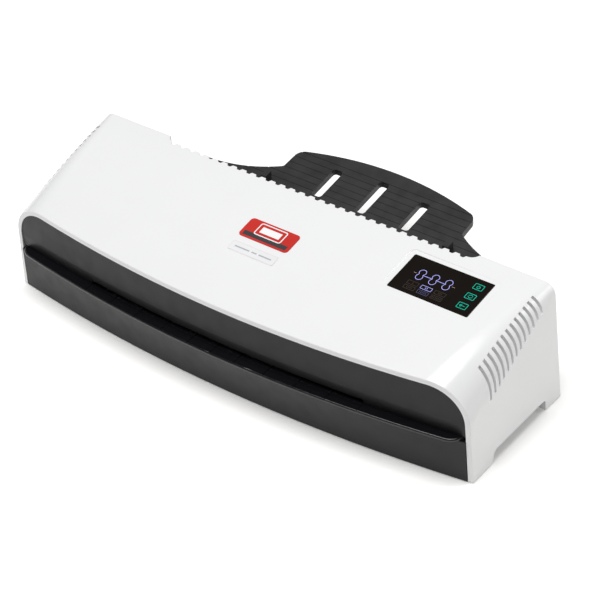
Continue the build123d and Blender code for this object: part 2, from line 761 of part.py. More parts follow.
def gear_train():
    """Every gear by name, in mesh at rest. The middle lower gear is the first of the train."""
    middle = (PAIR_Y["middle"], LOWER_Z)
    entry = (PAIR_Y["entry"], LOWER_Z)
    exit_ = (PAIR_Y["exit"], LOWER_Z)
    front_idler, rear_idler = idler_centres()
    phase = {"middle_lower_gear": 0.0}
    centre = {"middle_lower_gear": middle}
    teeth = {"middle_lower_gear": ROLLER_TEETH}
    links = [
        ("middle_lower_gear", "front_idler_gear", front_idler, IDLER_TEETH),
        ("middle_lower_gear", "rear_idler_gear", rear_idler, IDLER_TEETH),
        ("front_idler_gear", "entry_lower_gear", entry, ROLLER_TEETH),
        ("rear_idler_gear", "exit_lower_gear", exit_, ROLLER_TEETH),
        ("middle_lower_gear", "middle_upper_gear", (middle[0], UPPER_Z), ROLLER_TEETH),
        ("entry_lower_gear", "entry_upper_gear", (entry[0], UPPER_Z), ROLLER_TEETH),
        ("exit_lower_gear", "exit_upper_gear", (exit_[0], UPPER_Z), ROLLER_TEETH),
        ("entry_lower_gear", "motor_pinion", PINION_CENTRE, PINION_TEETH),
    ]
    for driver, driven, place, count in links:
        centre[driven] = place
        teeth[driven] = count
        phase[driven] = meshed_phase(centre[driver], teeth[driver], phase[driver], place, count)
    gears = {}
    for name, (y, z) in centre.items():
        gear = spur_gear(teeth[name], (y, z), phase[name])
        bore = IDLER_PIN_RADIUS + RUNNING_GAP if "idler" in name else JOURNAL_RADIUS
        gears[name] = gear - bar(GEAR_X[0] - 1, GEAR_X[1] + 1, y, z, bore)
    gears["motor_pinion"] += motor_shaft()
    return gears


def idler_pins():
    """Shoulder pins riveted into the left side plate."""
    pins = []
    plate_outer = -PLATE_INNER_X - PLATE_THICKNESS
    for y, z in idler_centres():
        pin = bar(GEAR_X[0] - 0.4, plate_outer, y, z, IDLER_PIN_RADIUS)
        pin += bar(plate_outer, -PLATE_INNER_X, y, z, SCREW_RADIUS)
        pin += bar(GEAR_X[0] - 1.8, GEAR_X[0] - 0.4, y, z, 4.2)
        pins.append(pin)
    return pins


# ---------------------------------------------------------------- motor


def drive_motor():
    """Synchronous gear motor with its output shaft off centre and a mounting plate with ears."""
    y, z = MOTOR_CENTRE
    rear, front = MOTOR_X
    body = bar(rear + 8, front, y, z, MOTOR_RADIUS)
    body += bar(rear, rear + 8, y, z, MOTOR_RADIUS - 4)
    for ear_y, ear_z in MOTOR_POSTS:
        body += bar(front - 2, front, ear_y, ear_z, 5.0)
        reach = hypot(ear_y - y, ear_z - z)
        arm = Pos(front - 1, y, z) * Rot(X=degrees(atan2(ear_z - z, ear_y - y)))
        body += arm * Pos(0, reach / 2, 0) * Box(2, reach, 10)
    for ear_y, ear_z in MOTOR_POSTS:
        body -= bar(front - 12, front + 1, ear_y, ear_z, SCREW_RADIUS)
    return body + bar(front, front + 1, *PINION_CENTRE, 5.0)


def motor_shaft():
    y, z = PINION_CENTRE
    return bar(MOTOR_X[1] + 1.2, GEAR_X[1] + 1, y, z, JOURNAL_RADIUS)


def motor_screws():
    """Shoulder screws that hold the motor off the side plate, clear of the gears."""
    screws = []
    plate_outer = -PLATE_INNER_X - PLATE_THICKNESS
    front = MOTOR_X[1]
    for y, z in MOTOR_POSTS:
        screw = bar(front, plate_outer, y, z, 3.4)
        screw += bar(front - 6, front, y, z, SCREW_RADIUS)
        screw += bar(plate_outer, -PLATE_INNER_X, y, z, SCREW_RADIUS)
        screw += bar(-PLATE_INNER_X, -PLATE_INNER_X + 2.2, y, z, 3.6)
        screws.append(screw)
    return screws


# ---------------------------------------------------------------- heating and guides


def over_nip(z):
    """Height of the mirror image of z below the film path."""
    return 2 * NIP_Z - z


def held_between_plates(points, centre, tab):
    """A prism that stops short of the side plates, on tabs that reach them."""
    body = along_x(points, -PLATE_INNER_X + 3, PLATE_INNER_X - 3)
    return body + block(-PLATE_INNER_X, PLATE_INNER_X, centre - 1, centre + 1, *tab)


def heat_shoe(upper):
    """Aluminium extrusion between the first two roller pairs, with a flat face to the film."""
    centre = HEATER_Y
    half_section = [(9.5, 52.9), (9.5, 54.2), (4.5, 58.5), (4.5, 77.5), (8.5, 77.5), (8.5, 80.0)]
    right = [(centre + offset, z) for offset, z in half_section]
    left = [(centre - offset, z) for offset, z in reversed(half_section)]
    points = right + left
    if not upper:
        points = [(y, over_nip(z)) for y, z in points]
    tab = (70.0, 76.0) if upper else (over_nip(76.0), over_nip(70.0))
    return held_between_plates(points, centre, tab)


def heater(upper):
    """Mica strip heater on the back of a shoe."""
    centre = HEATER_Y
    low, high = (80.0, 82.4) if upper else (over_nip(82.4), over_nip(80.0))
    return block(-150, 150, centre - 8, centre + 8, low, high)


def thermostat():
    centre = HEATER_Y
    body = post(-60, centre, 82.4, 90, 7.5) + post(-60, centre, 90, 92, 5)
    for x in (-63, -57):
        body += block(x - 0.4, x + 0.4, centre - 2, centre + 2, 92, 98)
    return body


def thermal_fuse():
    centre = HEATER_Y
    return bar(45, 57, centre, 84.4, 2.0) + bar(35, 67, centre, 84.4, 0.5)


def film_guides():
    """Tee-shaped guides above and below the film, between the last two roller pairs."""
    centre = GUIDE_Y
    section = [(-9.5, 52.9), (9.5, 52.9), (9.5, 54.2), (1, 54.6), (1, 74), (-1, 74), (-1, 54.6), (-9.5, 54.2)]
    upper = [(centre + offset, z) for offset, z in section]
    lower = [(y, over_nip(z)) for y, z in upper]
    upper_guide = held_between_plates(upper, centre, (68.0, 74.0))
    lower_guide = held_between_plates(lower, centre, (over_nip(74.0), over_nip(68.0)))
    return [upper_guide, lower_guide]


# ---------------------------------------------------------------- electrics


def power_board():
    """Mains circuit board in the right bay, with its larger components and its spacers."""
    board = block(194, 238, 26, 116, 23.5, 25.1)
    board += block(198, 226, 76, 104, 25.1, 50)
    board += block(199, 213, 36, 56, 25.1, 38)
    board += post(226, 48, 25.1, 46, 7)
    board += post(226, 66, 25.1, 42, 5)
    board += block(199, 202, 60, 72, 25.1, 44)
    for x in (198, 234):
        for y in (30, 112):
            board += post(x, y, PAN_TOP, 23.5, 2.5)
    return board


def mains_inlet():
    """Three-pin appliance inlet, set into the rear panel from outside."""
    frame = rear_plane(BODY_DEPTH - RECESS_DEPTH) * Pos(INLET_X, 0, REAR_FITTING_Z)
    body = block(-16, 16, 0, 1.6, -12, 12) + block(-13.4, 13.4, -16, 0, -9.9, 9.9)
    body -= block(-12, 12, -13, 2, -8, 8)
    for x, z in ((-7, -2.5), (0, 2.5), (7, -2.5)):
        body += block(x - 2, x + 2, -14, -1.5, z - 1, z + 1)
    return frame * body


def switch_frame():
    return rear_plane(BODY_DEPTH - RECESS_DEPTH) * Pos(SWITCH_X, 0, REAR_FITTING_Z)


def power_switch():
    """Frame of the mains rocker switch."""
    body = block(-11.5, 11.5, 0, 1.5, -8.5, 8.5) + block(-9.4, 9.4, -15, 0, -6.4, 6.4)
    body -= block(-7.6, 7.6, -13.5, 2, -5.9, 5.9)
    return switch_frame() * body


def power_rocker():
    """Rocker that turns about a pin along X, with a shallow vee across its face."""
    radius = 6.6
    pivot_y = -4.0
    wheel = bar(-7.2, 7.2, pivot_y, 0, radius)
    wheel &= block(-8, 8, pivot_y + 1.5, 10, -4.6, 4.6)
    wheel += bar(-7.2, 7.2, pivot_y, 0, 2.2)
    notch = Pos(0, pivot_y + radius + 1.2, 0) * Rot(X=90) * Rot(Y=90)
    wheel -= notch * Cylinder(1.9, 20)
    return switch_frame() * wheel


# ---------------------------------------------------------------- exit tray


def tray_height(y):
    """Height of the flatter outer part of the tray at y."""
    return TRAY_BEND[1] + TRAY_SLOPE * (y - TRAY_BEND[0])


def tray_band(depth):
    """The tray's side view, made depth deep and drawn out over its whole width."""
    end = TRAY_END_Y + 2
    width = TRAY_WING_HALF_WIDTH + 2
    line = [TRAY_ROOT, TRAY_BEND, (end, tray_height(end))]
    below = [(y, z - depth) for y, z in reversed(line)]
    section = Polygon(*line, *below, align=None)
    bends = [v for v in section.vertices() if abs(v.X - TRAY_BEND[0]) < 0.1]
    section = fillet(bends, TRAY_BEND_RADIUS)
    return Pos(X=-width) * extrude(Plane.YZ * section, 2 * width, dir=(1, 0, 0))


def tray_outline():
    """Plan of the tray: two wings at the wall and a broad tongue."""
    tongue = TRAY_TONGUE_HALF_WIDTH
    tip = tongue - 1
    wing = TRAY_WING_HALF_WIDTH
    root_y = TRAY_ROOT[0]
    shoulder_y = TRAY_END_Y - TRAY_END_BOW
    hollow = (139.0, 214.0)
    edges = [
        ThreePointArc((-tip, shoulder_y), (0, TRAY_END_Y), (tip, shoulder_y)),
        Line((tip, shoulder_y), (tongue, TRAY_NECK_Y)),
        ThreePointArc((tongue, TRAY_NECK_Y), hollow, (wing, TRAY_WING_Y)),
        Polyline((wing, TRAY_WING_Y), (wing, root_y), (-wing, root_y), (-wing, TRAY_WING_Y)),
        ThreePointArc((-wing, TRAY_WING_Y), (-hollow[0], hollow[1]), (-tongue, TRAY_NECK_Y)),
        Line((-tongue, TRAY_NECK_Y), (-tip, shoulder_y)),
    ]
    outline = make_face(edges)
    rounds = ((shoulder_y, 11.0), (TRAY_NECK_Y, 4.0), (TRAY_WING_Y, 4.0), (root_y, 2.0))
    for height, radius in rounds:
        corners = [v for v in outline.vertices() if abs(v.Y - height) < 0.05]
        outline = fillet(corners, radius)
    return outline


def tray_slot(index, grow):
    """Plan of one slot, grown by grow."""
    low = TRAY_SLOT_START_Y - grow
    high = TRAY_SLOT_ENDS_Y[index] + grow
    x = (index - 1) * TRAY_SLOT_PITCH
    corner = TRAY_SLOT_CORNER + grow
    width = TRAY_SLOT_WIDTH + 2 * grow
    return Pos(x, (low + high) / 2) * RectangleRounded(width, high - low, corner)


def upright(plan):
    """A tall column on a plan, which cuts right through the tray."""
    return extrude(plan, 120)


def tray_lug(x):
    """Hinge lug under the tray's root, which turns on a pin."""
    y, z = TRAY_PIVOT
    arm = [(y, z - 3.6), (y + 14, z + 3.4), (y + 14, z + 8.6), (y + 7, z + 5.4), (y, z + 2.4)]
    lug = bar(x - 5, x + 5, y, z, 3.6) + along_x(arm, x - 5, x + 5)
    return lug - bar(x - 6, x + 6, y, z, HINGE_PIN_RADIUS + RUNNING_GAP)


def tray_stop(side):
    """Upright block that squares up the pouches."""
    y0, y1 = TRAY_STOP_Y
    base = tray_height(y0) - 2
    top = TRAY_STOP_HEIGHT
    points = [(y0, base), (y1, base), (y1, tray_height(y1) + top), (y0, tray_height(y0) + top)]
    stop = along_x(points, *TRAY_STOP_X)
    return stop if side > 0 else mirrored(stop)


def exit_tray():
    """Tray that catches the pouches: a skin with a skirt, on lugs that turn on two pins."""
    outline = tray_outline()
    skirt_plan = outline - offset(outline, amount=-TRAY_RIM_WALL)
    for i in range(3):
        skirt_plan += tray_slot(i, TRAY_RIM_WALL)
    tray = tray_band(TRAY_SKIN) & upright(outline)
    tray += tray_band(TRAY_RIM_DEPTH) & upright(skirt_plan)
    for i in range(3):
        tray -= upright(tray_slot(i, 0.0))
    width, depth = TRAY_GROOVE_SIZE
    for y in TRAY_GROOVES_Y:
        floor = tray_height(y) - depth
        tray -= block(-200, 200, y - width / 2, y + width / 2, floor, floor + 3)
    y, z = TRAY_PIVOT
    for side in (-1, 1):
        x = side * HINGE_X
        tray += tray_stop(side)
        tray -= block(x - 11, x + 11, y - 6, y + 6, z - 10, z + 10)
        tray += tray_lug(x)
    return tray


def tray_pins():
    y, z = TRAY_PIVOT
    return [bar(x - 9, x + 9, y, z, HINGE_PIN_RADIUS) for x in (-HINGE_X, HINGE_X)]


# ---------------------------------------------------------------- the whole machine


def laminator():
    parts = {
        "top_cover": top_cover(),
        "upper_front_panel": upper_front_panel(),
        "lower_front_panel": lower_front_panel(),
        "entry_shelf": entry_shelf(),
        "rear_panel": rear_panel(),
        "base_pan": base_pan(),
        "rubber_feet": rubber_feet(),
        "case_screws": case_screws(),
        "display_window": display_window(),
        "display_board": display_board(),
        "badge": roof_plate(BADGE_SIZE, BADGE_CENTRE, BADGE_THICKNESS, 4.0),
        "blank_label": roof_plate(LABEL_SIZE, LABEL_CENTRE, LABEL_THICKNESS, 1.5),
        "left_side_plate": side_plate("left"),
        "right_side_plate": side_plate("right"),
        "stay_rods": stay_rods(),
        "chassis_screws": chassis_screws(),
        "lower_bushings": lower_bushings(),
        "idler_pins": idler_pins(),
        "drive_motor": drive_motor(),
        "motor_screws": motor_screws(),
        "upper_heat_shoe": heat_shoe(upper=True),
        "lower_heat_shoe": heat_shoe(upper=False),
        "upper_heater": heater(upper=True),
        "lower_heater": heater(upper=False),
        "thermostat": thermostat(),
        "thermal_fuse": thermal_fuse(),
        "film_guides": film_guides(),
        "power_board": power_board(),
        "mains_inlet": mains_inlet(),
        "power_switch": power_switch(),
        "power_rocker": power_rocker(),
        "exit_tray": exit_tray(),
        "tray_pins": tray_pins(),
    }
    for pair, y in PAIR_Y.items():
        parts[f"{pair}_lower_core"] = roller_core(y, LOWER_Z)
        parts[f"{pair}_upper_core"] = roller_core(y, UPPER_Z)
        parts[f"{pair}_lower_sleeve"] = roller_sleeve(y, LOWER_Z)
        parts[f"{pair}_upper_sleeve"] = roller_sleeve(y, UPPER_Z)
        parts[f"{pair}_bearing_blocks"] = bearing_blocks(y)
        parts[f"{pair}_nip_springs"] = nip_springs(y)
    parts.update(gear_train())
    return parts


def write(name, part):
    """Write one node, moved so that the origin is under the middle of the machine."""
    pieces = part if isinstance(part, list) else [part]
    placed = [Pos(Y=-CENTRE_Y) * piece for piece in pieces]
    shape = placed[0] if len(placed) == 1 else Compound(children=placed)
    export_step(shape, f"parts/{name}.step")


os.makedirs("parts", exist_ok=True)
for part_name, part_shape in laminator().items():
    write(part_name, part_shape)
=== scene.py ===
import math

import bpy
import bmesh
from mathutils import Matrix, Vector
from mathutils.bvhtree import BVHTree


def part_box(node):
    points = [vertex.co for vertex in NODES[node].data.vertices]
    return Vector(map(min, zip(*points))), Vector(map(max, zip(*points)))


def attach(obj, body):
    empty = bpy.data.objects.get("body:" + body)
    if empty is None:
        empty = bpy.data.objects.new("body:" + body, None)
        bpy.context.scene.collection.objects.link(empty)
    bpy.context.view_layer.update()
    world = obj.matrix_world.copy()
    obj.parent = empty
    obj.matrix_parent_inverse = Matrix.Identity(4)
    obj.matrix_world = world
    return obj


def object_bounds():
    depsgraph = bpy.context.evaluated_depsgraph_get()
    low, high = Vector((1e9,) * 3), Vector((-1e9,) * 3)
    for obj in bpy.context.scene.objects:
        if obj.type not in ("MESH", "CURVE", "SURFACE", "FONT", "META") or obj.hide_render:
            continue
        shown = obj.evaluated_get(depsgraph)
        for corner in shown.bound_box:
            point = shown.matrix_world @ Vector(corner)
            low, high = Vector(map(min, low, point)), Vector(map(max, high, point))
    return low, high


# Looks of the pouch laminator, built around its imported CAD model. Metres, same frame as the CAD.

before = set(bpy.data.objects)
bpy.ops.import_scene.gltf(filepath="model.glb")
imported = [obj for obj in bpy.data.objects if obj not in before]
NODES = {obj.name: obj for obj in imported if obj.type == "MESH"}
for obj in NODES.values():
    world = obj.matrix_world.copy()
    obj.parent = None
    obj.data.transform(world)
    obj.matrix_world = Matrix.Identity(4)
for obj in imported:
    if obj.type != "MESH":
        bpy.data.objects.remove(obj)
cad_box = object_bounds()
MM = 0.001

# ---- camera ----
VIEW_AZIMUTH = math.radians(40.18)
VIEW_ELEVATION = math.radians(37.5)
VIEW_ROLL = math.radians(-4.41)
VIEW_DISTANCE = 2.1457
VIEW_TARGET = Vector((0.0301, cad_box[0][1] + 0.1027, 0.060))
LENS = 134.43
FLOOR_GLOW = 0.20             # lifts the table to plain white

# ---- printed and lit marks ----
MARK_PROUD = 0.04 * MM
MARK_SUNK = 0.06 * MM
MARK_STEP = 1.5 * MM          # longest straight piece of a mark, so that it follows a curved face

# ---- studio ----
SKY_STRENGTH = 0.08
FLOOR_HALF_WIDTH = 6.0
LIGHTS = {                    # place, target, size, watts and share that reaches matt surfaces
    "key": ((-0.1, -0.45, 3.4), (0, 0, 0.05), (2.4, 2.4), 122, 1.0),
    "corner_glow": ((1.25, 0.85, 1.15), (0.2, 0, 0.1), (0.5, 0.9), 6, 0.1),
    "left_fill": ((-2.4, -1.6, 0.7), (0, -0.1, 0.05), (1.4, 1.0), 6, 1.0),
}


# ---------------------------------------------------------------- materials


class Finish:
    """A Principled material whose colour, roughness and relief vary over the surface."""

    def __init__(self, name, **sockets):
        self.material = bpy.data.materials.new(name)
        self.material.use_nodes = True
        self.tree = self.material.node_tree
        self.shader = self.tree.nodes["Principled BSDF"]
        for socket, value in sockets.items():
            self.shader.inputs[socket.replace("_", " ")].default_value = value
        self.place = self.tree.nodes.new("ShaderNodeTexCoord").outputs["Object"]
        self.relief = None

    def noise(self, size, stretch=(1, 1, 1), detail=2.0, roughness=0.5):
        """A noise value from 0 to 1 whose features are about this size in metres."""
        mapping = self.tree.nodes.new("ShaderNodeMapping")
        mapping.inputs["Scale"].default_value = [1 / (size * s) for s in stretch]
        texture = self.tree.nodes.new("ShaderNodeTexNoise")
        texture.inputs["Scale"].default_value = 1.0
        texture.inputs["Detail"].default_value = detail
        texture.inputs["Roughness"].default_value = roughness
        self.tree.links.new(self.place, mapping.inputs["Vector"])
        self.tree.links.new(mapping.outputs["Vector"], texture.inputs["Vector"])
        return texture.outputs["Fac"]

    def ranged(self, value, low, high):
        """The value's middle range, mapped from low to high."""
        node = self.tree.nodes.new("ShaderNodeMapRange")
        node.inputs["From Min"].default_value = 0.3
        node.inputs["From Max"].default_value = 0.7
        node.inputs["To Min"].default_value = low
        node.inputs["To Max"].default_value = high
        self.tree.links.new(value, node.inputs["Value"])
        return node.outputs["Result"]

    def colour(self, value, dark, light):
        """Base colour from dark to light."""
        mix = self.tree.nodes.new("ShaderNodeMix")
        mix.data_type = "RGBA"
        mix.inputs["A"].default_value = (*dark, 1)
        mix.inputs["B"].default_value = (*light, 1)
        self.tree.links.new(self.ranged(value, 0, 1), mix.inputs["Factor"])
        self.tree.links.new(mix.outputs["Result"], self.shader.inputs["Base Color"])
        return self

    def roughness(self, value, low, high):
        self.tree.links.new(self.ranged(value, low, high), self.shader.inputs["Roughness"])
        return self

    def bump(self, value, depth):
        """Relief of this depth in metres, on top of any relief added before."""
        node = self.tree.nodes.new("ShaderNodeBump")
        node.inputs["Strength"].default_value = 1.0
        node.inputs["Distance"].default_value = depth
        self.tree.links.new(value, node.inputs["Height"])
        if self.relief is not None:
            self.tree.links.new(self.relief, node.inputs["Normal"])
        self.relief = node.outputs["Normal"]
        self.tree.links.new(self.relief, self.shader.inputs["Normal"])
        return self


def grey(value, tint=(0.0, 0.0, 0.0)):
    return tuple(value + t for t in tint)


def moulded(name, dark, light, low, high, grain=0.5 * MM, depth=0.004 * MM, **sockets):
    """Injection-moulded plastic: colour from dark to light, roughness from low to high."""
    finish = Finish(name, **sockets)
    finish.colour(finish.noise(60 * MM, detail=1), dark, light)
    finish.roughness(finish.noise(14 * MM, detail=1), low, high)
    finish.bump(finish.noise(grain, detail=2), depth)
    return finish.material


def machined(name, dark, light, low, high, stretch, depth=0.002 * MM):
    """Metal with fine marks drawn out along one direction."""
    finish = Finish(name, Metallic=1.0)
    marks = finish.noise(0.4 * MM, stretch=stretch, detail=4, roughness=0.7)
    finish.colour(marks, dark, light)
    finish.roughness(finish.noise(5 * MM, detail=3), low, high)
    finish.bump(marks, depth)
    return finish.material


def circuit_laminate():
    """Green board with copper tracks under the solder mask."""
    finish = Finish("circuit_laminate")
    brick = finish.tree.nodes.new("ShaderNodeTexBrick")
    brick.inputs["Scale"].default_value = 90.0
    brick.inputs["Mortar Size"].default_value = 0.035
    brick.inputs["Color1"].default_value = (0.006, 0.075, 0.028, 1)
    brick.inputs["Color2"].default_value = (0.008, 0.095, 0.034, 1)
    brick.inputs["Mortar"].default_value = (0.03, 0.19, 0.06, 1)
    finish.tree.links.new(finish.place, brick.inputs["Vector"])
    finish.tree.links.new(brick.outputs["Color"], finish.shader.inputs["Base Color"])
    finish.roughness(finish.noise(4 * MM), 0.3, 0.45)
    finish.bump(brick.outputs["Fac"], -0.03 * MM)
    return finish.material


def mica_sheet():
    """Layered mica, flecked gold and grey."""
    finish = Finish("mica_sheet")
    finish.colour(finish.noise(3 * MM, detail=6, roughness=0.7), (0.36, 0.31, 0.2), (0.62, 0.56, 0.42))
    finish.roughness(finish.noise(2 * MM, detail=3), 0.25, 0.5)
    finish.bump(finish.noise(1.2 * MM, detail=5), 0.03 * MM)
    return finish.material


def silicone_rubber():
    """Heat-proof roller rubber, ground to a matt surface."""
    finish = Finish("silicone_rubber", Subsurface_Weight=0.04)
    grind = finish.noise(0.5 * MM, stretch=(1, 6, 6), detail=4)
    finish.colour(finish.noise(12 * MM, detail=3), (0.34, 0.065, 0.035), (0.42, 0.09, 0.05))
    finish.roughness(grind, 0.5, 0.68)
    finish.bump(grind, 0.01 * MM)
    return finish.material


def glass_panel():
    """Smoked touch panel: near-black with a hard gloss."""
    finish = Finish("glass_panel", Coat_Weight=0.15, Coat_Roughness=0.05, Specular_IOR_Level=0.25)
    finish.colour(finish.noise(30 * MM, detail=2), (0.0075, 0.0052, 0.0040), (0.0095, 0.0068, 0.0052))
    finish.roughness(finish.noise(9 * MM, detail=4), 0.10, 0.18)
    finish.bump(finish.noise(40 * MM, detail=1), 0.004 * MM)
    return finish.material


def ink(name, dark, light, glow=0.0):
    """Printed or lit mark."""
    finish = Finish(name, Specular_IOR_Level=0.2, Roughness=0.5)
    finish.colour(finish.noise(0.8 * MM, detail=2), dark, light)
    if glow:
        finish.shader.inputs["Emission Color"].default_value = (*light, 1)
        finish.shader.inputs["Emission Strength"].default_value = glow
    return finish.material


def make_finishes():
    """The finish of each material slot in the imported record."""
    return {
        "white_plastic": moulded(
            "white_abs", (0.818, 0.820, 0.824), (0.826, 0.828, 0.832), 0.20, 0.22,
            grain=9 * MM, depth=0.0012 * MM,
        ),
        "grey_plastic": moulded(
            "satin_graphite", (0.0085, 0.0080, 0.0094), (0.0105, 0.0099, 0.0116), 0.33, 0.42,
            Specular_IOR_Level=0.30,
        ),
        "black_gloss": moulded(
            "shelf_black", (0.0050, 0.0050, 0.0065), (0.0060, 0.0060, 0.0075), 0.16, 0.20,
            grain=6 * MM, depth=0.0008 * MM,
        ),
        "black_plastic": moulded(
            "tray_black", (0.0205, 0.0197, 0.0205), (0.0240, 0.0231, 0.0240), 0.38, 0.50
        ),
        "window_glass": glass_panel(),
        "badge_plate": moulded(
            "badge_enamel", (0.52, 0.028, 0.022), (0.60, 0.038, 0.030), 0.16, 0.26, depth=0.002 * MM
        ),
        "label_film": moulded(
            "label_film", (0.74, 0.745, 0.755), (0.79, 0.795, 0.805), 0.30, 0.42, depth=0.002 * MM
        ),
        "foot_rubber": moulded(
            "foot_rubber", (0.012, 0.012, 0.012), (0.022, 0.022, 0.022), 0.7, 0.85, depth=0.02 * MM
        ),
        "circuit_board": circuit_laminate(),
        "zinc_steel": machined("zinc_steel", grey(0.46), grey(0.60), 0.28, 0.42, (1, 1, 5)),
        "roller_steel": machined("roller_steel", grey(0.52), grey(0.64), 0.16, 0.26, (1, 9, 9)),
        "silicone": silicone_rubber(),
        "bearing_plastic": moulded(
            "bearing_plastic", (0.035, 0.033, 0.03), (0.05, 0.047, 0.043), 0.4, 0.52
        ),
        "spring_steel": machined("spring_steel", grey(0.38), grey(0.5), 0.25, 0.35, (1, 1, 4)),
        "gear_acetal": moulded("gear_acetal", (0.70, 0.68, 0.62), (0.76, 0.74, 0.68), 0.35, 0.45),
        "motor_case": machined("motor_case", grey(0.30), grey(0.42), 0.3, 0.42, (8, 1, 1)),
        "aluminium": machined("aluminium", grey(0.62), grey(0.76), 0.3, 0.45, (12, 1, 1)),
        "mica": mica_sheet(),
        "thermal_parts": moulded("thermal_parts", (0.32, 0.30, 0.27), (0.42, 0.40, 0.36), 0.4, 0.5),
        "guide_plastic": moulded("guide_plastic", (0.05, 0.045, 0.04), (0.07, 0.062, 0.055), 0.45, 0.6),
    }


def paint_frame(finishes):
    """Gives every CAD node the finish of its own slot."""
    for node in NODES.values():
        for slot in node.material_slots:
            slot.material = finishes[slot.material.name.split(".")[0]]


# ---------------------------------------------------------------- marks laid on a face


class Face:
    """One outer side of a CAD node, with flat coordinates across it."""

    def __init__(self, node, across, up, outward):
        mesh = NODES[node].data
        self.node = node
        self.across, self.up, self.outward = Vector(across), Vector(up), Vector(outward)
        self.tree = BVHTree.FromPolygons(
            [v.co for v in mesh.vertices], [p.vertices for p in mesh.polygons]
        )
        low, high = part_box(node)
        self.middle = (low + high) / 2
        self.width = abs((high - low).dot(self.across))
        self.height = abs((high - low).dot(self.up))
        self.clear = (high - low).length

    def point(self, a, b, lift):
        """The place lift above the face, a across and b up from the node's middle."""
        over = self.middle + self.across * a + self.up * b
        hit, _, _, _ = self.tree.ray_cast(over + self.outward * self.clear, -self.outward)
        return hit + self.outward * lift


def subdivided(points, closed):
    """The outline with no stretch longer than MARK_STEP."""
    ends = points[1:] + points[:1] if closed else points[1:]
    fine = []
    for start, end in zip(points, ends):
        steps = max(1, math.ceil((end - start).length / MARK_STEP))
        fine += [start.lerp(end, i / steps) for i in range(steps)]
    return fine if closed else fine + [points[-1]]


def edge_offsets(points, closed, width):
    """For each point, the half-width step to its left, mitred at the corners."""
    count = len(points)
    offsets = []
    for i, here in enumerate(points):
        before = points[i - 1] if closed or i > 0 else None
        after = points[(i + 1) % count] if closed or i < count - 1 else None
        turns = []
        if before is not None:
            turns.append((here - before).normalized())
        if after is not None:
            turns.append((after - here).normalized())
        along = sum(turns, Vector((0, 0))).normalized()
        cosine = max(0.4, along.dot(turns[0]))
        offsets.append(Vector((-along.y, along.x)) * (width / 2 / cosine))
    return offsets


def stroke(mesh, face, points, width, closed=False):
    """Adds one ribbon that follows the points over the face, as a thin closed solid."""
    points = subdivided([Vector(p) for p in points], closed)
    rings = []
    for here, step in zip(points, edge_offsets(points, closed, width)):
        left, right = here + step, here - step
        rings.append([
            mesh.verts.new(face.point(left.x, left.y, MARK_PROUD)),
            mesh.verts.new(face.point(left.x, left.y, -MARK_SUNK)),
            mesh.verts.new(face.point(right.x, right.y, -MARK_SUNK)),
            mesh.verts.new(face.point(right.x, right.y, MARK_PROUD)),
        ])
    following = rings[1:] + rings[:1] if closed else rings[1:]
    for ring, after in zip(rings, following):
        for i in range(4):
            j = (i + 1) % 4
            mesh.faces.new((ring[i], ring[j], after[j], after[i]))
    if not closed:
        mesh.faces.new(rings[0][::-1])
        mesh.faces.new(rings[-1])


def mark(name, face, strokes, material, body):
    """One piece made of strokes: (points, width, closed) each."""
    mesh = bmesh.new()
    for points, width, closed in strokes:
        stroke(mesh, face, points, width, closed)
    bmesh.ops.recalc_face_normals(mesh, faces=mesh.faces)
    data = bpy.data.meshes.new(name)
    mesh.to_mesh(data)
    mesh.free()
    piece = bpy.data.objects.new(name, data)
    bpy.context.scene.collection.objects.link(piece)
    data.materials.append(material)
    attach(piece, body)
    return piece


def arc(centre, radius, start, end, count):
    """Points on a circle from one angle to another, in degrees."""
    angles = [math.radians(start + (end - start) * i / count) for i in range(count + 1)]
    return [(centre[0] + radius * math.cos(t), centre[1] + radius * math.sin(t)) for t in angles]


def rounded_box(centre, width, height, radius):
    """Outline of a rectangle with round corners."""
    points = []
    for start, sx, sy in ((0, 1, 1), (90, -1, 1), (180, -1, -1), (270, 1, -1)):
        corner = (centre[0] + sx * (width / 2 - radius), centre[1] + sy * (height / 2 - radius))
        points += arc(corner, radius, start, start + 90, 4)
    return points


# ---------------------------------------------------------------- display


PAIR_PLACES = (0.231, 0.396, 0.562)     # across the window, from its left edge
PAIR_HEIGHT = 0.446                     # down the window, from its rear edge
PAIR_RADIUS = 3.5 * MM
PAIR_SPREAD = 3.1 * MM
PAIR_WAIST = 0.82                       # 1 would pinch the outline where the rollers touch
PATH_INNER_END = 0.616 * PAIR_RADIUS    # from a roller's middle to the end of a bright dash
PATH_OUTER_ENDS = (1.4 * PAIR_RADIUS, 2.352 * PAIR_RADIUS)
BOX_PLACES = (0.228, 0.396, 0.566)
BOX_ROWS = (0.714, 0.848)
BOX_SIZE = (11.6 * MM, 4.3 * MM)
BOX_CORNER = 0.5 * MM
BAR_PITCH = BOX_SIZE[0] / 7
BAR_HALF_HEIGHT = 0.22 * BOX_SIZE[1]
KEY_PLACE = 0.866
KEY_ROWS = (0.214, 0.501, 0.786)
KEY_SIZE = (9.6 * MM, 6.9 * MM)
KEY_CORNER = 0.7 * MM
LINE = 0.5 * MM
BOX_LINE = 0.8 * LINE
KEY_LINE = 1.1 * LINE


def on_window(face, across, down):
    """Window shares turned into the face's flat coordinates."""
    return ((across - 0.5) * face.width, (0.5 - down) * face.height)


def roller_pair(centre):
    """Outline of two touching rollers, one above the other."""
    x, y = centre
    waist = math.degrees(math.asin(PAIR_SPREAD / PAIR_RADIUS * PAIR_WAIST))
    upper = arc((x, y + PAIR_SPREAD), PAIR_RADIUS, -waist, 180 + waist, 20)
    lower = arc((x, y - PAIR_SPREAD), PAIR_RADIUS, 180 - waist, 360 + waist, 20)
    return upper + lower


